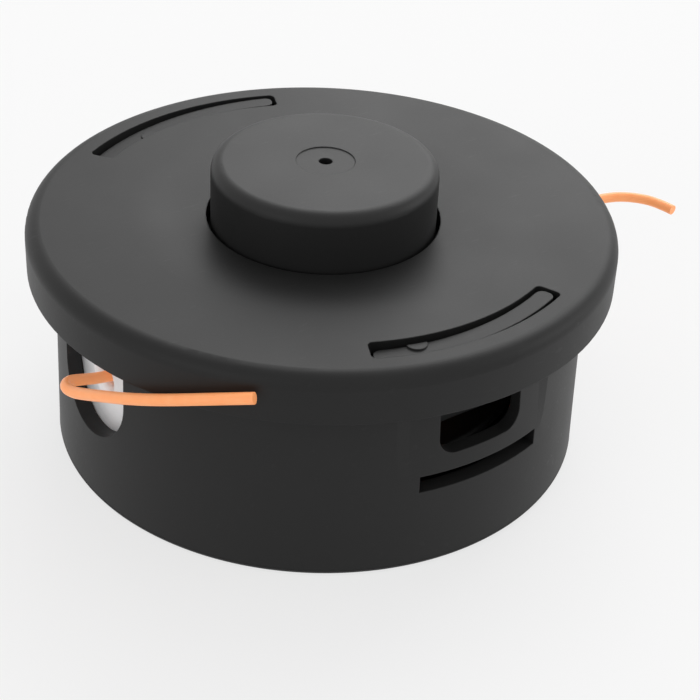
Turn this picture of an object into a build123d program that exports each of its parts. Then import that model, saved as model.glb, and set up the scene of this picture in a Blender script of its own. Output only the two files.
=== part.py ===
"""Bump-feed line trimmer head, lying machine side down with its bump knob up.

Units are millimetres. Z is the axis of rotation and z = 0 is the face that bears on the
machine. The two line eyelets lie on the X axis and the two cover latches on the Y axis.
"""
import os
from math import asin, cos, degrees, pi, radians, sin, sqrt, tan

from build123d import *

# Clearances
running_gap = 0.3       # between pieces that move past each other
seat_gap = 0.15         # round a piece that is pushed into its pocket
root = 0.5              # how far a feature is let into the wall that carries it
overrun = 1.0           # how far a cut runs past the faces that it opens
sides = (0, 180)        # the eyelets and the latches come in opposite pairs

# Cutting line
line_diameter = 2.4
line_layers = 4
line_play = 1.2         # round the line in the throat of its eyelet
bend_share = 0.45       # of the shorter run beside a bend, taken up by its arc

# Cover
cover_radius = 62.5
cover_top = 51.6
cover_plate = 2.6
cover_round = 3.2
skirt_depth = 10.6
skirt_wall = 2.4
skirt_gap = 3.7         # from the skirt to the rim of the housing
dish_radius = 38.0
dish_drop = 0.8
dish_round = 90.0       # where the dish runs out into the flat
crown_step = 1.0
spigot_depth = 3.0
spigot_wall = 2.0

# Housing
wall = 2.7              # at its rim
wall_flare = 1.1        # by which the wall is wider at its base
base_round = 1.3
base_recess = 2.5
end_wall = 3.0
boss_width = 3.5        # of the boss outside the hub
hub_wall = 1.5
hub_bore = 6.5
rib_count = 12
rib_width = 2.0
rib_relief = 0.5
panel_half_angle = 20.0
panel_ramp = 3.2        # degrees taken by the ramp at each side of the latch panel
panel_depth = 0.9       # of the latch panel at the rim, running out to nothing at the vent
panel_lift = 0.1        # of the panel's cut clear of the wall at its foot

# Latch, its window in the wall and the vent slot below
tab_high_angle = 21.5   # degrees from the latch to the tab's high end, on the +X side
tab_low_angles = (24.6, 31.0)           # degrees to its low end, front and back
latch_block = 2.0       # of the block over the window, inward from the wall
latch_tab_width = 3.7
tab_high_drop = 0.25    # from the face of the cover down to the tab's high end
tab_low_drop = 1.5
tab_round = 1.6
slot_end_gap = 0.9      # degrees between the tab's end and the slot's end
slot_inner_gap = 0.9
slot_outer_gap = 0.9
slot_round = 1.2
window_half_width = 10.1
window_bottom = 26.3
window_height = 11.7
window_round = 4.0
vent_half_width = 14.9
vent_shift = 0.9        # of the vent towards +X from the middle of the window
vent_bottom = 18.6
vent_height = 3.8
arm_side_gap = 1.3      # from the arm to each side of the window
arm_thickness = 2.0
arm_clearance = 2.3     # from the arm to the block over the window
arm_room = 2.4          # behind the arm, for it to flex
arm_end_drop = 9.2      # from the top of the window down to the arm's end
hook_reach = 1.7        # of the hook under the block
hook_height = 4.6
hook_ramp = 1.4
mark_radius = 2.1
mark_height = 0.6
mark_angle = 14.7

# Eyelets
eyelet_level = 28.3
eyelet_slot_half_width = 11.8
eyelet_lap = 1.4        # of the eyelet behind each side of the slot
eyelet_depth = 4.6
eyelet_mouth_round = 2.6
rail_wall = 2.4
rail_lip = 1.6
rail_lap = 2.2
rail_room = 2.2         # from the rails to the spool's flanges

# Drive nut: M10 x 1 left-hand, moulded into the hub
nut_bore_radius = 4.5
nut_across_flats = 17.0
nut_length = 16.0
nut_flange_lap = 1.2    # of the flange past the hexagon's corners
nut_flange = 2.5

# Spool and bump knob
knob_radius = 23.9
knob_top = 63.5
knob_round = 2.6
knob_top_wall = 3.0
drum_wall = 2.6
knob_gap = 0.9          # from the knob to the edge of the cover's opening
vent_hole_radius = 1.45
gate_radius = 6.2
gate_depth = 0.2
flange_thickness = 2.0
middle_flange = 1.6
flange_round = 0.6
notch_width = 3.0
notch_depth = 7.0
sleeve_wall = 2.2
sleeve_length = 12.0
web_thickness = 2.5
spool_rib_count = 6
spool_rib_width = 1.8
bump_travel = 6.0
hub_end_gap = 2.0       # left above the hub when the knob is pressed home

# Indexing teeth, the same on the cover, the housing and both faces of the spool
tooth_count = 4
tooth_half_angle = 6.0
tooth_height = 4.0
tooth_offset = 3.2      # from the opening of the cover out to the teeth
tooth_length = 6.0
tooth_play = 2.0        # degrees left beside a tooth when the knob is home

# Spring
spring_wire = 1.8
spring_clearance = 2.0  # round the hub
spring_length = 32.5
spring_turns = 7

# Line ends: points of each route, from inside the eyelet to the cut end
line_left_route = [
    (-46.5, 0.0, 27.4), (-54.0, 0.0, 28.3), (-59.0, -0.1, 29.7), (-61.6, -0.2, 30.4),
    (-63.3, -2.1, 30.7), (-63.2, -5.2, 31.2), (-62.6, -9.2, 32.9), (-61.6, -15.2, 35.6),
    (-60.2, -22.4, 38.8), (-57.3, -29.3, 41.6), (-52.5, -37.3, 44.8), (-46.2, -44.8, 47.2),
]
line_right_route = [
    (46.5, 0.0, 27.4), (58.0, 0.2, 28.4), (69.5, 0.8, 29.7), (79.5, 1.1, 30.6),
    (86.6, 0.1, 30.4), (91.3, -3.0, 30.2), (94.2, -7.2, 30.0), (95.0, -11.6, 29.8),
]

# Levels and radii that follow from the sizes above
rim_radius = cover_radius - skirt_wall - skirt_gap
base_radius = rim_radius + wall_flare
cavity_radius = rim_radius - wall
nut_flange_radius = nut_across_flats / sqrt(3) + nut_flange_lap
hub_radius = nut_flange_radius + hub_wall
boss_radius = hub_radius + boss_width

cover_under = cover_top - cover_plate
crown_under = cover_under - crown_step
skirt_bottom = cover_top - skirt_depth
opening_radius = knob_radius + knob_gap
floor_level = base_recess + end_wall

upper_tooth_tip = crown_under - running_gap
upper_flange_top = upper_tooth_tip - tooth_height
upper_flange_bottom = upper_flange_top - flange_thickness
lower_flange_bottom = floor_level + tooth_height + running_gap + bump_travel
lower_flange_top = lower_flange_bottom + flange_thickness
middle_flange_bottom = (lower_flange_top + upper_flange_bottom - middle_flange) / 2
middle_flange_top = middle_flange_bottom + middle_flange
drum_bore = knob_radius - drum_wall
web_level = floor_level + spring_length
sleeve_radius = hub_radius + running_gap
spring_radius = hub_radius + spring_clearance + spring_wire / 2
sleeve_top = web_level + sleeve_length
knob_ceiling = knob_top - knob_top_wall
hub_top = knob_ceiling - bump_travel - hub_end_gap

tooth_inner_radius = opening_radius + tooth_offset
tooth_outer_radius = tooth_inner_radius + tooth_length
index_angle = 180 / tooth_count         # turned by the spool while the knob goes home
floor_tooth_angle = 2 * tooth_half_angle + tooth_play - index_angle

block_inner_radius = cavity_radius - latch_block
tab_outer_radius = block_inner_radius + latch_tab_width
window_top = window_bottom + window_height
arm_outer_radius = block_inner_radius - arm_clearance
arm_inner_radius = arm_outer_radius - arm_thickness
arm_half_width = window_half_width - arm_side_gap
arm_end = window_top - arm_end_drop
hook_top = window_top - running_gap

eyelet_half_width = eyelet_slot_half_width + eyelet_lap
eyelet_outer_radius = cavity_radius - seat_gap
eyelet_inner_radius = eyelet_outer_radius - eyelet_depth
eyelet_top = cover_under - running_gap
rail_half_width = eyelet_half_width + seat_gap + rail_wall
rail_inner_radius = eyelet_inner_radius - seat_gap - rail_lip
eyelet_throat = line_diameter / 2 + line_play
flange_radius = min(arm_inner_radius - arm_room, rail_inner_radius - rail_room)


def half_section(r_in, r_out, z_low, z_high):
    """Rectangle in the XZ plane, one wall of a turned profile."""
    return Plane.XZ * Pos((r_in + r_out) / 2, (z_low + z_high) / 2) * Rectangle(r_out - r_in, z_high - z_low)


def disc(radius, z_low, z_high):
    return Pos(0, 0, z_low) * extrude(Circle(radius), z_high - z_low)


def tube(r_in, r_out, z_low, z_high):
    return Pos(0, 0, z_low) * extrude(Circle(r_out) - Circle(r_in), z_high - z_low)


def sector(r_in, r_out, z_low, z_high, middle, half_angle):
    """Part of a ring, half_angle degrees to each side of the azimuth middle."""
    reach = 1.1 * r_out / cos(radians(half_angle))
    ends = [radians(middle - half_angle), radians(middle + half_angle)]
    corners = [(reach * cos(end), reach * sin(end)) for end in ends]
    wedge = make_face(Polyline((0, 0), *corners, close=True))
    return Pos(0, 0, z_low) * extrude((Circle(r_out) - Circle(r_in)) & wedge, z_high - z_low)


def teeth(z_low, z_high, first_angle):
    """Ring of straight-sided indexing teeth."""
    ring = Part()
    for number in range(tooth_count):
        middle = first_angle + number * 360 / tooth_count
        ring += sector(tooth_inner_radius, tooth_outer_radius, z_low, z_high, middle, tooth_half_angle)
    return ring


def upright(half_width, r_in, r_out, top):
    """Round-bottomed upright between two radii, on the +X side at the eyelets' level."""
    face = Circle(half_width)
    face += Pos(0, (top - eyelet_level) / 2) * Rectangle(2 * half_width, top - eyelet_level)
    block = Pos(0, 0, eyelet_level) * extrude(Plane.YZ * face, 2 * rim_radius)
    return block & tube(r_in, r_out, 0, cover_top)


def wall_opening(middle, half_width, bottom, height, corner):
    """Cut through the wall on the -Y side, its lower corners rounded where corner is set."""
    face = Rectangle(2 * half_width, height)
    if corner:
        face = fillet(face.vertices().sort_by(Axis.Y)[:2], corner)
    outward = Plane((middle, -arm_outer_radius, bottom + height / 2), x_dir=(1, 0, 0), z_dir=(0, -1, 0))
    return extrude(outward * face, rim_radius)


def latch_span(r_in, r_out, z_low, z_high, low_angle, margin):
    """Part of a ring over the -Y latch, margin degrees longer than the tab at each end."""
    middle = -90 + (tab_high_angle - low_angle) / 2
    return sector(r_in, r_out, z_low, z_high, middle, (tab_high_angle + low_angle) / 2 + margin)


def panel_plan(level, radius, depth):
    """Plan of the latch panel's cut at one level: a floor between two ramps that run on outwards."""
    ramp_angle = radians(panel_half_angle - panel_ramp)
    edge_angle = radians(panel_half_angle)
    foot = Vector((radius - depth) * sin(ramp_angle), (depth - radius) * cos(ramp_angle))
    edge = Vector(radius * sin(edge_angle), -radius * cos(edge_angle))
    far = edge + (edge - foot) * 2
    outside = -radius - overrun
    floor = ThreePointArc((-foot.X, foot.Y), (0, depth - radius), (foot.X, foot.Y))
    rest = Polyline((foot.X, foot.Y), (far.X, far.Y), (far.X, outside), (-far.X, outside), (-far.X, far.Y),
                    (-foot.X, foot.Y))
    return Pos(0, 0, level) * make_face(floor + rest)


def on_both_sides(make):
    """The same feature on the -Y side and, mirrored, on the +Y side, each with its own low angle."""
    front_angle, back_angle = tab_low_angles
    return [make(front_angle), mirror(make(back_angle), about=Plane.XZ)]


def make_housing():
    wall_section = make_face(Plane.XZ * Polyline(
        (cavity_radius, 0), (base_radius, 0), (rim_radius, cover_under), (cavity_radius, cover_under),
        close=True))
    corner = wall_section.vertices().sort_by(Axis.Z)[:2].sort_by(Axis.X)[-1]
    profile = fillet(corner, base_round)
    profile += half_section(0, cavity_radius + base_round, base_recess, floor_level)
    profile += half_section(0, boss_radius, 0, base_recess)
    profile += half_section(0, hub_radius, floor_level, hub_top)
    housing = revolve(profile, Axis.Z)

    rib_length = cavity_radius - boss_radius + 2 * root
    rib = Box(rib_length, rib_width, base_recess - rib_relief, align=(Align.MIN, Align.CENTER, Align.MIN))
    for number in range(rib_count):
        turn = (number + 0.5) * 360 / rib_count
        housing += Rot(0, 0, turn) * Pos(boss_radius - root, 0, rib_relief) * rib
    housing += teeth(floor_level - root, floor_level + tooth_height, floor_tooth_angle)

    panel_foot = base_radius - wall_flare * vent_bottom / cover_under + panel_lift
    panel = loft([panel_plan(vent_bottom, panel_foot, 0), panel_plan(cover_under, rim_radius, panel_depth)],
                 ruled=True)
    window = wall_opening(0, window_half_width, window_bottom, window_height, window_round)
    vent = wall_opening(vent_shift, vent_half_width, vent_bottom, vent_height, 0)

    rails = upright(rail_half_width, rail_inner_radius, cavity_radius + root, eyelet_top)
    pocket = upright(eyelet_half_width + seat_gap, eyelet_inner_radius - seat_gap, cavity_radius, cover_top)
    mouth = upright(eyelet_half_width - rail_lap, rail_inner_radius - overrun, eyelet_outer_radius, cover_top)
    slot = upright(eyelet_slot_half_width, eyelet_inner_radius, base_radius + overrun, cover_top)
    for turn in sides:
        place = Rot(0, 0, turn)
        housing += place * rails
        housing -= place * (pocket + mouth + slot)
    for cut in (panel, mirror(panel, about=Plane.XZ)):
        housing -= cut
    for tab in on_both_sides(make_latch_tab):
        housing += tab
    for cut in (window + vent, mirror(window + vent, about=Plane.XZ)):
        housing -= cut

    bore = disc(hub_bore, nut_length, hub_top)
    return housing - bore - make_nut_blank()


def make_latch_tab(low_angle):
    """Block over the -Y window, with a tab that rises into the cover's slot towards the +X side."""
    block = latch_span(block_inner_radius, cavity_radius + root, window_top, cover_under, low_angle, 0)
    tab = latch_span(block_inner_radius, tab_outer_radius, cover_under - root, cover_top, low_angle, 0)
    outline = fillet(tab.edges().filter_by(Axis.Z), tab_round)
    low_end = -tab_outer_radius * sin(radians(low_angle))
    high_end = tab_outer_radius * sin(radians(tab_high_angle))
    low_level = cover_top - tab_low_drop
    above = make_face(Plane.XZ * Polyline(
        (low_end, low_level), (high_end, cover_top - tab_high_drop), (high_end, cover_top + overrun),
        (low_end, cover_top + overrun), close=True))
    tab = outline - extrude(above, 2 * rim_radius, both=True)
    mark = Rot(0, 0, -90 - mark_angle) * Pos(block_inner_radius, 0, cover_under)
    tab += outline & mark * extrude(Circle(mark_radius), low_level + mark_height - cover_under)
    return block + tab


def make_nut_blank():
    """Hexagon with a round flange at its inner end, before the thread bore."""
    blank = extrude(RegularPolygon(nut_across_flats / 2, 6, major_radius=False), nut_length)
    return blank + disc(nut_flange_radius, nut_length - nut_flange, nut_length)


def make_drive_nut():
    return make_nut_blank() - disc(nut_bore_radius, 0, nut_length)


def make_eyelet():
    """Metal guide on the +X side: a curved plate with a trumpet-shaped bore."""
    plate = upright(eyelet_half_width, eyelet_inner_radius, eyelet_outer_radius, eyelet_top)
    inside = eyelet_inner_radius - overrun
    face = eyelet_outer_radius
    mouth = eyelet_throat + eyelet_mouth_round
    outline = Plane.XY * (
        Polyline((inside, 0), (inside, eyelet_throat),
                 (face - eyelet_mouth_round, eyelet_throat))
        + RadiusArc((face - eyelet_mouth_round, eyelet_throat), (face, mouth), -eyelet_mouth_round)
        + Polyline((face, mouth), (face + overrun, mouth), (face + overrun, 0), (inside, 0))
    )
    bore = revolve(make_face(outline), Axis.X)
    return plate - Pos(0, 0, eyelet_level) * bore


def make_cover():
    outline = Plane.XZ * Polyline(
        (opening_radius, crown_under), (opening_radius, cover_top - dish_drop), (dish_radius, cover_top),
        (cover_radius, cover_top), (cover_radius, skirt_bottom), (cover_radius - skirt_wall, skirt_bottom),
        (cover_radius - skirt_wall, cover_under), (dish_radius, cover_under),
        (dish_radius - crown_step, crown_under), close=True)
    profile = make_face(outline)
    shoulder = profile.vertices().group_by(Axis.X)[-1].sort_by(Axis.Z)[-1]
    profile = fillet(shoulder, cover_round)
    dish_edge = profile.vertices().sort_by_distance((dish_radius, 0, cover_top))[0]
    cover = revolve(fillet(dish_edge, dish_round), Axis.Z)

    spigot_outer = cavity_radius - seat_gap
    spigot_inner = spigot_outer - spigot_wall
    spigot_start = degrees(asin(rail_half_width / spigot_inner)) + slot_end_gap
    spigot_end = 90 - max(tab_low_angles) - 2 * slot_end_gap
    middle = (spigot_start + spigot_end) / 2
    for azimuth in (middle, 180 - middle, 180 + middle, -middle):
        cover += sector(spigot_inner, spigot_outer, cover_under - spigot_depth, cover_under + root,
                        azimuth, (spigot_end - spigot_start) / 2)

    for slot in on_both_sides(make_latch_slot):
        cover -= slot
    for turn in sides:
        cover += Rot(0, 0, turn) * make_latch_arm()
    return cover + teeth(crown_under - tooth_height, crown_under + root, index_angle)


def make_latch_slot(low_angle):
    """Cut through the cover round the -Y tab."""
    slot = latch_span(block_inner_radius - slot_inner_gap, tab_outer_radius + slot_outer_gap,
                      cover_under - overrun, cover_top + overrun, low_angle, slot_end_gap)
    return fillet(slot.edges().filter_by(Axis.Z), slot_round)


def make_latch_arm():
    """Springy arm on the -Y side, with a hook that catches under the block over the window."""
    hook_tip = block_inner_radius + hook_reach
    hook_bottom = hook_top - hook_height
    side = make_face(Plane.YZ * Polyline(
        (-arm_inner_radius, cover_under + root), (-arm_outer_radius, cover_under + root),
        (-arm_outer_radius, hook_top), (-hook_tip, hook_top), (-hook_tip, hook_bottom + hook_ramp),
        (-arm_outer_radius, hook_bottom - hook_ramp), (-arm_outer_radius, arm_end),
        (-arm_inner_radius, arm_end), close=True))
    return extrude(side, arm_half_width, both=True)


def make_spool():
    profile = half_section(drum_bore, knob_radius, lower_flange_bottom, knob_top - knob_round)
    profile += half_section(0, knob_radius, knob_ceiling, knob_top)
    profile = fillet(profile.vertices().group_by(Axis.Z)[-1].sort_by(Axis.X)[-1], knob_round)
    for bottom, top in ((lower_flange_bottom, lower_flange_top), (middle_flange_bottom, middle_flange_top),
                        (upper_flange_bottom, upper_flange_top)):
        flange = half_section(knob_radius - root, flange_radius, bottom, top)
        profile += fillet(flange.vertices().group_by(Axis.X)[-1], flange_round)
    profile += half_section(sleeve_radius, drum_bore + root, web_level, web_level + web_thickness)
    profile += half_section(sleeve_radius, sleeve_radius + sleeve_wall, web_level, sleeve_top)
    spool = revolve(profile, Axis.Z)

    spool -= disc(vent_hole_radius, knob_ceiling, knob_top)
    spool -= disc(gate_radius, knob_top - gate_depth, knob_top)
    rib_start = sleeve_radius + sleeve_wall - root
    rib_length = drum_bore + root - rib_start
    rib = Box(rib_length, spool_rib_width, sleeve_length, align=(Align.MIN, Align.CENTER, Align.MIN))
    for number in range(spool_rib_count):
        spool += Rot(0, 0, number * 360 / spool_rib_count) * Pos(rib_start, 0, web_level) * rib
    notch = Box(notch_depth, notch_width, cover_top, align=(Align.MAX, Align.CENTER, Align.MIN))
    notch = Pos(flange_radius + overrun, 0, upper_flange_bottom - root) * notch
    for turn in sides:
        spool -= Rot(0, 0, turn + index_angle) * notch
    spool += teeth(upper_flange_top - root, upper_tooth_tip, 0)
    return spool + teeth(lower_flange_bottom - tooth_height, lower_flange_bottom + root, 0)


def make_winding(chamber_bottom, chamber_top):
    """Wound line in one compartment: closed layers, with the outer turns showing as ridges."""
    line_radius = line_diameter / 2
    inner = knob_radius + seat_gap
    crest = inner + line_layers * line_diameter
    line_turns = int((chamber_top - chamber_bottom - 2 * seat_gap) / line_diameter)
    start = (chamber_bottom + chamber_top) / 2 - line_turns * line_radius
    profile = half_section(inner, crest - line_radius, start, start + line_turns * line_diameter)
    for turn in range(line_turns):
        centre = start + (turn + 0.5) * line_diameter
        profile += Plane.XZ * Pos(crest - line_radius, centre) * Circle(line_radius)
    return revolve(profile, Axis.Z)


def make_spring():
    """Compression spring round the hub, its ends ground flat on the end wall and the spool's web."""
    coil = Helix(spring_length / spring_turns, spring_length, spring_radius)
    wire = sweep(Plane(coil @ 0, z_dir=coil % 0) * Circle(spring_wire / 2), coil)
    return Pos(0, 0, floor_level) * (wire & disc(spring_radius + spring_wire, 0, spring_length))


def make_line_end(route):
    """Free end of the cutting line, a round section along straight runs joined by arcs."""
    points = [Vector(*point) for point in route]
    runs = [after - before for before, after in zip(points, points[1:])]
    radii = []
    for before, after in zip(runs, runs[1:]):
        half_turn = radians(before.get_angle(after)) / 2
        radii.append(bend_share * min(before.length, after.length) / tan(half_turn))
    path = FilletPolyline(*points, radius=radii)
    line = sweep(Plane(path @ 0, z_dir=path % 0) * Circle(line_diameter / 2), path)
    print("radii", [round(radius, 1) for radius in radii], "length", round(path.length, 1),
          "volume ratio", round(line.volume / (pi * line_diameter**2 / 4 * path.length), 4))
    return line


eyelet = make_eyelet()
nodes = {
    "housing": make_housing(),
    "drive_nut": make_drive_nut(),
    "eyelet_right": eyelet,
    "eyelet_left": Rot(0, 0, 180) * eyelet,
    "cover": make_cover(),
    "spring": make_spring(),
    "spool": make_spool(),
    "line_winding_lower": make_winding(lower_flange_top, middle_flange_bottom),
    "line_winding_upper": make_winding(middle_flange_top, upper_flange_bottom),
    "line_end_left": make_line_end(line_left_route),
    "line_end_right": make_line_end(line_right_route),
}

os.makedirs("parts", exist_ok=True)
for name, shape in nodes.items():
    export_step(shape, f"parts/{name}.step")
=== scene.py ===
"""Bump-feed line trimmer head: finishes, cutting line, spring and drive thread, in studio light.

Lengths are in metres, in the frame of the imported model: Z is the axis of rotation, the line
eyelets lie on the X axis and the cover latches on the Y axis.
"""
from math import cos, radians, sin, tau

import bpy
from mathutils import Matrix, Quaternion, Vector


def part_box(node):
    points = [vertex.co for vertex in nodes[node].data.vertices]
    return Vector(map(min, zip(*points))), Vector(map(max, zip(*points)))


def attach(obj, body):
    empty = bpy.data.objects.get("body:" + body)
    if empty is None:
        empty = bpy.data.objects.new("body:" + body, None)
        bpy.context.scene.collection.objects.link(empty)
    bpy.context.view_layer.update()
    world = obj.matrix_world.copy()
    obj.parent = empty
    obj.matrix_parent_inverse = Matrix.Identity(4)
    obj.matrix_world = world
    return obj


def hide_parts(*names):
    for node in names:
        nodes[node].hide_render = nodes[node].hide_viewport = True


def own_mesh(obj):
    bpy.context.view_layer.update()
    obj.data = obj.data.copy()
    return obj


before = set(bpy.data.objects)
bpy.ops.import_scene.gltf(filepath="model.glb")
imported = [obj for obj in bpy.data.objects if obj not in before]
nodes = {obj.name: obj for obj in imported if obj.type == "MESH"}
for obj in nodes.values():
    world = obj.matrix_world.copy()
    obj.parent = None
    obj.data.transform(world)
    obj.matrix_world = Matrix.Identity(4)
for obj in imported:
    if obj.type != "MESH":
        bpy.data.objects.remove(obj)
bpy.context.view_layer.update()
mm = 0.001

# Camera: the photograph's angle, roll and distance
camera_azimuth = radians(-37)
camera_elevation = radians(33.65)
camera_roll = radians(2.93)
camera_distance = 395.9 * mm
camera_aim = Vector((5.64, -4.25, 16.55)) * mm
camera_sensor = 36.0
camera_lens = 91.58
camera_near = 10 * mm

# Studio
plain_white = (1.0, 1.0, 1.0, 1.0)
fill_light = 0.65           # level of the light from all round
floor_white = 0.7           # share of plain white in what is seen of the floor
floor_reach = 6.0           # from the axis to each side of the floor
softbox_distance = 3.0      # from the point that the camera aims at

# Cutting line: points of each free end, in millimetres, from inside the eyelet to the cut end
line_diameter = 2.4 * mm
line_left_route = [
    (-46.5, 0.0, 27.4), (-54.0, 0.0, 28.3), (-59.0, -0.1, 29.7), (-61.6, -0.2, 30.4),
    (-63.3, -2.1, 30.7), (-63.2, -5.2, 31.2), (-62.6, -9.2, 32.9), (-61.6, -15.2, 35.6),
    (-60.2, -22.4, 38.8), (-57.3, -29.3, 41.6), (-52.5, -37.3, 44.8), (-46.2, -44.8, 47.2),
]
line_right_route = [
    (46.5, 0.0, 27.4), (58.0, 0.2, 28.4), (69.5, 0.8, 29.7), (79.5, 1.1, 30.6),
    (86.6, 0.1, 30.4), (91.3, -3.0, 30.2), (94.2, -7.2, 30.0), (95.0, -11.6, 29.8),
]
line_painted_glow = 0.25            # painted light: a glow that brightens the line by the same amount in light and shade

# Wound line: layers and turns in each compartment of the spool
winding_layers = 4
winding_turns = 3.4         # in one layer, from flange to flange
winding_pitch = 2.42 * mm
winding_climb = 0.07        # share of a layer in which the line climbs to the next
winding_end = 0.9999        # share of all layers, so that no further layer begins
winding_unevenness = 0.12 * mm
winding_wander = 2.3        # how often the line wanders in one turn
winding_points = 1400
winding_seeds = {"line_winding_lower": 3.0, "line_winding_upper": 11.0}

# Spring
spring_wire = 1.8 * mm
spring_turns = 7
spring_points = 400
wire_sides = 10             # of the section of the spring's wire and the wound line

# Drive nut: M10 x 1, left-hand
nut_across_flats = 17 * mm
nut_flange = 2.5 * mm
nut_steps = 96              # faces all round
thread_core = 4.5 * mm
thread_depth = 0.5 * mm
thread_pitch = 1 * mm
thread_rows = 16            # rows of faces in one pitch
thread_countersink = 0.65 * mm

# Round at the foot of the housing
base_radius = 57.49 * mm
base_round = 1.3 * mm
base_round_rows = 10
base_steps = 360            # faces all round

crease_angle = radians(40)  # from which an edge of a turned piece shows as sharp


class Link:
    """A node's socket as a value: arithmetic on it adds Math nodes to its tree."""

    def __init__(self, graph, socket):
        self.graph = graph
        self.socket = socket

    def __add__(self, other):
        return self.graph.math("ADD", self, other)

    __radd__ = __add__

    def __sub__(self, other):
        return self.graph.math("SUBTRACT", self, other)

    def __mul__(self, other):
        return self.graph.math("MULTIPLY", self, other)

    __rmul__ = __mul__

    def __truediv__(self, other):
        return self.graph.math("DIVIDE", self, other)


class Graph:
    """A node tree that grows by one node for each call."""

    def __init__(self, tree):
        self.tree = tree

    def node(self, kind, settings=None, sockets=None, output=0):
        """Adds a node, sets it up, and gives the output that is asked for."""
        made = self.tree.nodes.new(kind)
        for name, value in (settings or {}).items():
            if name == "stops":
                self.set_stops(made.color_ramp, value)
            else:
                setattr(made, name, value)
        for name, value in (sockets or {}).items():
            if isinstance(value, Link):
                self.tree.links.new(value.socket, made.inputs[name])
            else:
                made.inputs[name].default_value = value
        return Link(self, made.outputs[output]) if len(made.outputs) else None

    def set_stops(self, ramp, stops):
        while len(ramp.elements) < len(stops):
            ramp.elements.new(1.0)
        for element, (position, tone) in zip(ramp.elements, stops):
            element.position = position
            element.color = (tone, tone, tone, 1.0)

    def math(self, operation, first, second=0.0):
        return self.node("ShaderNodeMath", {"operation": operation}, {0: first, 1: second})

    def place(self):
        return self.node("ShaderNodeTexCoord", output="Object")

    def noise(self, vector, scale, detail=2.0, roughness=0.5):
        sockets = {"Vector": vector, "Scale": scale, "Detail": detail, "Roughness": roughness}
        return self.node("ShaderNodeTexNoise", {}, sockets)

    def stretched(self, vector, scale):
        return self.node("ShaderNodeMapping", {}, {"Vector": vector, "Scale": scale})

    def ramp(self, value, *stops):
        return self.node("ShaderNodeValToRGB", {"stops": stops}, {"Fac": value})

    def tint(self, factor, first, second):
        sockets = {0: factor, 6: (*first, 1.0), 7: (*second, 1.0)}
        return self.node("ShaderNodeMix", {"data_type": "RGBA"}, sockets, output=2)

    def bump(self, height, distance, strength, normal=None):
        sockets = {"Height": height, "Distance": distance, "Strength": strength}
        if normal:
            sockets["Normal"] = normal
        return self.node("ShaderNodeBump", {}, sockets)

    def surface(self, **sockets):
        named = {name.replace("_", " "): value for name, value in sockets.items()}
        shader = self.node("ShaderNodeBsdfPrincipled", {}, named)
        self.node("ShaderNodeOutputMaterial", {}, {"Surface": shader})


def finish(name):
    """An empty material and the graph that fills it."""
    material = bpy.data.materials.new(name)
    material.use_nodes = True
    material.node_tree.nodes.clear()
    return material, Graph(material.node_tree)


def grey(tone):
    return (tone, tone, tone)


def moulded_nylon(name, tone, shine):
    """Satin black moulding: eroded mould grain, faint flow mottling and fine scuffs."""
    material, graph = finish(name)
    place = graph.place()
    grain = graph.noise(place, scale=2600, detail=3.0, roughness=0.6)
    flow = graph.noise(place, scale=45, detail=4.0, roughness=0.55)
    streaks = graph.noise(graph.stretched(place, (220, 1400, 600)), scale=1.0)
    scuffs = graph.ramp(streaks, (0.66, 0.0), (0.74, 1.0))
    edge = graph.node("ShaderNodeBevel", {"samples": 4}, {"Radius": 0.35 * mm})
    graph.surface(
        Base_Color=graph.tint(flow * 0.7 + scuffs * 0.3, grey(tone * 0.8), grey(tone * 1.3)),
        Roughness=0.48 + 0.12 * (flow - 0.5) + 0.1 * (grain - 0.5) - 0.05 * scuffs,
        Specular_IOR_Level=shine,
        Normal=graph.bump(grain, distance=0.02 * mm, strength=0.5, normal=edge),
    )
    return material


def cast_metal(name):
    """Bright die-cast eyelet: soft casting mottle and fine polishing marks."""
    material, graph = finish(name)
    place = graph.place()
    mottle = graph.noise(place, scale=320, detail=3.0, roughness=0.6)
    polish = graph.noise(graph.stretched(place, (600, 600, 5200)), scale=1.0)
    graph.surface(
        Base_Color=graph.tint(mottle, (0.82, 0.82, 0.83), (0.92, 0.92, 0.93)),
        Metallic=0.4,
        Roughness=0.42 + 0.16 * (mottle - 0.5) + 0.1 * (polish - 0.5),
        Normal=graph.bump(mottle * 0.5 + polish * 0.5, distance=0.01 * mm, strength=0.4),
    )
    return material


def plated_steel(name, tone):
    """Zinc-plated steel: grey patches and drawn marks round the axis."""
    material, graph = finish(name)
    place = graph.place()
    patches = graph.noise(place, scale=260, detail=3.0, roughness=0.6)
    marks = graph.noise(graph.stretched(place, (300, 300, 4200)), scale=1.0)
    graph.surface(
        Base_Color=graph.tint(patches, grey(tone * 0.75), grey(tone * 1.15)),
        Metallic=1.0,
        Roughness=0.32 + 0.2 * (patches - 0.5) + 0.1 * (marks - 0.5),
        Normal=graph.bump(marks, distance=0.02 * mm, strength=0.4),
    )
    return material


def extruded_line(name, painted_glow):
    """Fluorescent orange nylon line: smooth, with faint cloudiness and fine draw marks, and an
    emission that is painted light, a glow that stands in for light from the front.
    """
    material, graph = finish(name)
    place = graph.place()
    cloud = graph.noise(place, scale=420)
    draw = graph.noise(place, scale=2400)
    graph.surface(
        Base_Color=graph.tint(cloud, (0.97, 0.33, 0.1), (1.0, 0.42, 0.16)),
        Roughness=0.34 + 0.14 * (cloud - 0.5),
        Subsurface_Weight=0.15,
        Subsurface_Scale=0.8 * mm,
        Subsurface_Radius=(1.0, 0.5, 0.3),
        Specular_IOR_Level=0.45,
        # painted light: this emission lifts the line's colour equally where it is lit and where it is
        # shaded
        Emission_Color=graph.tint(cloud, (1.0, 0.36, 0.15), (1.0, 0.42, 0.2)),
        Emission_Strength=painted_glow,
        Normal=graph.bump(draw, distance=0.01 * mm, strength=0.4),
    )
    return material


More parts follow.
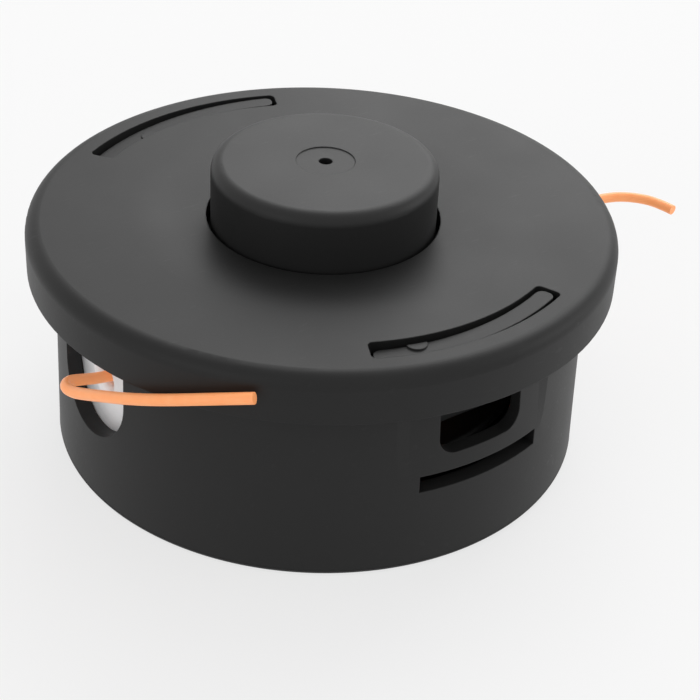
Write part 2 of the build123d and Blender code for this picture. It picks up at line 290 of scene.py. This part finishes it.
def seen_rays(graph):
    """1 where a ray comes from the camera, a reflection or glass, and 0 for light on things."""
    direct = graph.node("ShaderNodeLightPath", output="Is Camera Ray")
    mirrored = graph.node("ShaderNodeLightPath", output="Is Glossy Ray")
    through = graph.node("ShaderNodeLightPath", output="Is Transmission Ray")
    return graph.math("MAXIMUM", graph.math("MAXIMUM", direct, mirrored), through)


def pale_floor(name):
    """White floor: light falls on it as on paper, and it shows as part paper, part plain white."""
    material, graph = finish(name)
    haze = graph.noise(graph.place(), scale=3.0)
    paper = graph.node("ShaderNodeBsdfDiffuse", {}, {"Color": graph.tint(haze, grey(0.8), grey(0.82))})
    white = graph.node("ShaderNodeEmission", {}, {"Color": plain_white, "Strength": 1.0})
    share = floor_white * seen_rays(graph)
    mixed = graph.node("ShaderNodeMixShader", {}, {0: share, 1: paper, 2: white})
    graph.node("ShaderNodeOutputMaterial", {}, {"Surface": mixed})
    return material


def outward(azimuth, elevation):
    """Direction from the head to a viewer, whose azimuth counts from the -Y side towards +X."""
    level = cos(elevation)
    return Vector((sin(azimuth) * level, -cos(azimuth) * level, sin(elevation)))


def add_camera():
    back = outward(camera_azimuth, camera_elevation)
    camera = bpy.data.objects.new("camera", bpy.data.cameras.new("camera"))
    camera.data.sensor_width = camera_sensor
    camera.data.lens = camera_lens
    camera.data.clip_start = camera_near
    camera.location = camera_aim + camera_distance * back
    camera.rotation_mode = "QUATERNION"
    upright = (-back).to_track_quat("-Z", "Y")
    camera.rotation_quaternion = upright @ Quaternion((0, 0, 1), camera_roll)
    bpy.context.scene.collection.objects.link(camera)
    bpy.context.scene.camera = camera


def add_softbox(name, azimuth, elevation, width, height, power):
    """Rectangular soft light that points at the head, placed by a viewer's angles in degrees."""
    towards = outward(radians(azimuth), radians(elevation))
    lamp = bpy.data.lights.new(name, "AREA")
    lamp.shape = "RECTANGLE"
    lamp.size = width
    lamp.size_y = height
    lamp.energy = power
    light = bpy.data.objects.new(name, lamp)
    light.location = camera_aim + softbox_distance * towards
    light.rotation_mode = "QUATERNION"
    light.rotation_quaternion = (-towards).to_track_quat("-Z", "Y")
    bpy.context.scene.collection.objects.link(light)


def add_backdrop():
    """World that lights the head evenly and shows as plain white."""
    world = bpy.data.worlds.new("studio_white")
    world.use_nodes = True
    world.node_tree.nodes.clear()
    graph = Graph(world.node_tree)
    strength = fill_light + (1 - fill_light) * seen_rays(graph)
    backdrop = graph.node("ShaderNodeBackground", {}, {"Color": plain_white, "Strength": strength})
    graph.node("ShaderNodeOutputWorld", {}, {"Surface": backdrop})
    bpy.context.scene.world = world


def add_floor():
    mesh = bpy.data.meshes.new("floor")
    signs = [(-1, -1), (1, -1), (1, 1), (-1, 1)]
    corners = [(floor_reach * across, floor_reach * along, 0) for across, along in signs]
    mesh.from_pydata(corners, [], [(0, 1, 2, 3)])
    mesh.materials.append(pale_floor("floor_white"))
    floor = bpy.data.objects.new("floor", mesh)
    bpy.context.scene.collection.objects.link(floor)


def add_studio():
    add_backdrop()
    add_floor()
    add_softbox("top_softbox", azimuth=130, elevation=50, width=2.7, height=2.7, power=22.5)
    add_softbox("back_softbox", azimuth=126, elevation=36, width=2.4, height=1.8, power=31.5)
    add_softbox("right_softbox", azimuth=60, elevation=14, width=1.2, height=1.5, power=11.2)
    add_softbox("left_softbox", azimuth=-80, elevation=16, width=1.2, height=1.5, power=6)
    bpy.context.scene.view_settings.view_transform = "Standard"


def add_line_end(name, route, material):
    """Free end of the line as one smooth curve through the head's eyelet."""
    curve = bpy.data.curves.new(name, "CURVE")
    curve.dimensions = "3D"
    curve.bevel_depth = line_diameter / 2
    curve.bevel_resolution = 5
    curve.resolution_u = 10
    curve.use_fill_caps = True
    spline = curve.splines.new("NURBS")
    spline.points.add(len(route) - 1)
    for point, place in zip(spline.points, route):
        point.co = (*(Vector(place) * mm), 1.0)
    spline.order_u = 3
    spline.use_endpoint_u = True
    curve.materials.append(material)
    piece = bpy.data.objects.new(name, curve)
    bpy.context.scene.collection.objects.link(piece)
    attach(piece, "housing_body")
    return piece


def geometry_graph(name, sizes):
    """A Geometry Nodes tree with a number input for each named size: its graph and the inputs."""
    tree = bpy.data.node_groups.new(name, "GeometryNodeTree")
    for size in sizes:
        tree.interface.new_socket(size, in_out="INPUT", socket_type="NodeSocketFloat")
    tree.interface.new_socket("Material", in_out="INPUT", socket_type="NodeSocketMaterial")
    tree.interface.new_socket("Geometry", in_out="OUTPUT", socket_type="NodeSocketGeometry")
    graph = Graph(tree)
    return graph, [graph.node("NodeGroupInput", output=size) for size in sizes]


def round_wire(graph, points, radius, angle, height, wire):
    """Sweeps a round wire along a path about the Z axis and closes the tree."""
    straight = graph.node("GeometryNodeCurvePrimitiveLine")
    steps = graph.node("GeometryNodeResampleCurve", {}, {"Curve": straight, "Count": points})
    across = radius * graph.math("COSINE", angle)
    along = radius * graph.math("SINE", angle)
    spot = graph.node("ShaderNodeCombineXYZ", {}, {"X": across, "Y": along, "Z": height})
    path = graph.node("GeometryNodeSetPosition", {}, {"Geometry": steps, "Position": spot})
    section = graph.node("GeometryNodeCurvePrimitiveCircle", {},
                         {"Resolution": wire_sides, "Radius": wire / 2})
    swept = graph.node("GeometryNodeCurveToMesh", {},
                       {"Curve": path, "Profile Curve": section, "Fill Caps": True})
    smooth = graph.node("GeometryNodeSetShadeSmooth", {}, {"Geometry": swept})
    whole = graph.node("GeometryNodeRealizeInstances", {}, {"Geometry": smooth})
    material = graph.node("NodeGroupInput", output="Material")
    done = graph.node("GeometryNodeSetMaterial", {}, {"Geometry": whole, "Material": material})
    graph.node("NodeGroupOutput", {}, {"Geometry": done})
    return graph.tree


def spring_tree():
    """Compression spring with one closed turn at each end."""
    graph, inputs = geometry_graph("spring_coils", ["Radius", "Wire", "Bottom", "Top", "Turns"])
    radius, wire, bottom, top, turns = inputs
    share = graph.node("GeometryNodeSplineParameter", output="Factor")
    turn = share * turns
    first = graph.math("MINIMUM", turn, 1.0)
    last = graph.math("MAXIMUM", turn - (turns - 1.0), 0.0)
    free = turn - first - last
    pitch = (top - bottom - 3.0 * wire) / (turns - 2.0)
    height = bottom + 0.5 * wire + wire * (first + last) + pitch * free
    return round_wire(graph, spring_points, radius, tau * turn, height, wire)


def winding_tree():
    """Line wound to and fro between two flanges, layer over layer."""
    graph, inputs = geometry_graph(
        "wound_line", ["Core", "Line", "Middle", "Pitch", "Turns", "Layers", "Unevenness", "Seed"])
    core, line, middle, pitch, turns, layers, unevenness, seed = inputs
    share = graph.node("GeometryNodeSplineParameter", output="Factor")
    turn = share * winding_end * turns * layers
    wound = turn / turns
    layer = graph.math("FLOOR", wound)
    climb = ((wound - layer) - (1 - winding_climb)) / winding_climb
    rise = graph.math("MAXIMUM", climb, 0.0)
    swing = graph.math("PINGPONG", wound, 1.0)
    wander = graph.node("ShaderNodeTexNoise", {"noise_dimensions": "1D"},
                        {"W": turn * winding_wander + seed, "Scale": 1.0})
    radius = core + line * (0.5 + layer + rise) + unevenness * (wander - 0.5)
    height = middle + pitch * turns * (swing - 0.5)
    return round_wire(graph, winding_points, radius, tau * turn, height, line)


def grow(name, tree, sizes, material):
    """Runs a tree on an empty mesh and keeps the result as a plain piece."""
    carrier = bpy.data.objects.new(name + "_carrier", bpy.data.meshes.new(name + "_carrier"))
    bpy.context.scene.collection.objects.link(carrier)
    modifier = carrier.modifiers.new("tree", "NODES")
    modifier.node_group = tree
    for item in tree.interface.items_tree:
        if item.in_out == "INPUT":
            modifier[item.identifier] = material if item.name == "Material" else sizes[item.name]
    evaluated = carrier.evaluated_get(bpy.context.evaluated_depsgraph_get())
    mesh = bpy.data.meshes.new_from_object(evaluated)
    mesh.name = name
    bpy.data.objects.remove(carrier)
    piece = bpy.data.objects.new(name, mesh)
    bpy.context.scene.collection.objects.link(piece)
    return piece


def add_spring(material):
    low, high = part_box("spring")
    sizes = {
        "Radius": high.x - spring_wire / 2, "Wire": spring_wire,
        "Bottom": low.z, "Top": high.z, "Turns": spring_turns,
    }
    piece = grow("spring_coils", spring_tree(), sizes, material)
    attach(piece, "spring_body")
    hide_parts("spring")
    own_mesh(piece)


def add_windings(material):
    tree = winding_tree()
    for node, seed in winding_seeds.items():
        low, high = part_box(node)
        sizes = {
            "Core": high.x - winding_layers * line_diameter, "Line": line_diameter,
            "Middle": (low.z + high.z) / 2, "Pitch": winding_pitch, "Turns": winding_turns,
            "Layers": winding_layers, "Unevenness": winding_unevenness, "Seed": seed,
        }
        piece = grow(node + "_turns", tree, sizes, material)
        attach(piece, "spool_body")
        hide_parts(node)


def turned_piece(name, outline, material):
    """Closed ring about the Z axis: each row of its outline is a height and the radii all round."""
    points = []
    for height, radii in outline:
        for step, radius in enumerate(radii):
            turn = tau * step / len(radii)
            points.append((radius * cos(turn), radius * sin(turn), height))
    rows = len(outline)
    count = len(points) // rows
    faces = []
    for row in range(rows):
        here = row * count
        above = (row + 1) % rows * count
        for step in range(count):
            beside = (step + 1) % count
            faces.append((here + step, here + beside, above + beside, above + step))
    mesh = bpy.data.meshes.new(name)
    mesh.from_pydata(points, [], faces)
    mesh.polygons.foreach_set("use_smooth", [True] * len(faces))
    mesh.set_sharp_from_angle(angle=crease_angle)
    mesh.materials.append(material)
    piece = bpy.data.objects.new(name, mesh)
    bpy.context.scene.collection.objects.link(piece)
    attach(piece, "housing_body")
    return piece


def hexagon_radius(turn):
    """Distance from the axis to the hexagon's side, which has a corner on the X axis."""
    side = tau / 6
    from_flat = turn % side - side / 2
    return nut_across_flats / 2 / cos(from_flat)


def thread_radius(depth, length, turn):
    """Radius of the threaded bore, depth below the nut's upper end, countersunk at both ends."""
    groove = (1 - cos(turn - tau * depth / thread_pitch)) / 2
    from_end = min(depth, length - depth)
    return thread_core + max(thread_depth * groove, thread_countersink - from_end)


def add_drive_nut(material):
    """Hexagon nut with flange and left-hand thread."""
    low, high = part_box("drive_nut")
    length = high.z - low.z
    angles = [tau * step / nut_steps for step in range(nut_steps)]
    hexagon = [hexagon_radius(turn) for turn in angles]
    flange = [high.x] * nut_steps
    shoulder = high.z - nut_flange
    outline = [(low.z, hexagon), (shoulder, hexagon), (shoulder, flange), (high.z, flange)]
    levels = round(thread_rows * length / thread_pitch)
    for level in range(levels + 1):
        depth = length * level / levels
        outline.append((high.z - depth, [thread_radius(depth, length, turn) for turn in angles]))
    piece = turned_piece("drive_nut_threaded", outline, material)
    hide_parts("drive_nut")


def add_base_round(material):
    """Fine ring over the round at the foot of the housing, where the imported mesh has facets."""
    middle = base_radius - base_round
    outline = []
    for row in range(base_round_rows + 1):
        swing = tau / 4 * (row / base_round_rows - 1)
        height = base_round * (1 + sin(swing))
        outline.append((height, [middle + base_round * cos(swing)] * base_steps))
    outline.append((base_round, [middle] * base_steps))
    piece = turned_piece("housing_base_round", outline, material)


def dress(node, material):
    """Gives a CAD node its finish."""
    mesh = nodes[node].data
    mesh.materials.clear()
    mesh.materials.append(material)


add_camera()

line_orange = extruded_line("line_orange", line_painted_glow)
left_end = add_line_end("line_left_free", line_left_route, line_orange)
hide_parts("line_end_left")
right_end = add_line_end("line_right_free", line_right_route, line_orange)
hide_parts("line_end_right")
add_windings(extruded_line("wound_line_orange", painted_glow=0.0))
add_spring(plated_steel("spring_wire_steel", tone=0.45))
add_drive_nut(plated_steel("nut_zinc_plate", tone=0.55))

housing_nylon = moulded_nylon("housing_nylon", tone=0.016, shine=0.22)
dress("housing", housing_nylon)
add_base_round(housing_nylon)
dress("cover", moulded_nylon("cover_nylon", tone=0.014, shine=0.22))
dress("spool", moulded_nylon("spool_nylon", tone=0.014, shine=0.26))
for eyelet in ("eyelet_left", "eyelet_right"):
    dress(eyelet, cast_metal(eyelet + "_cast"))

add_studio()
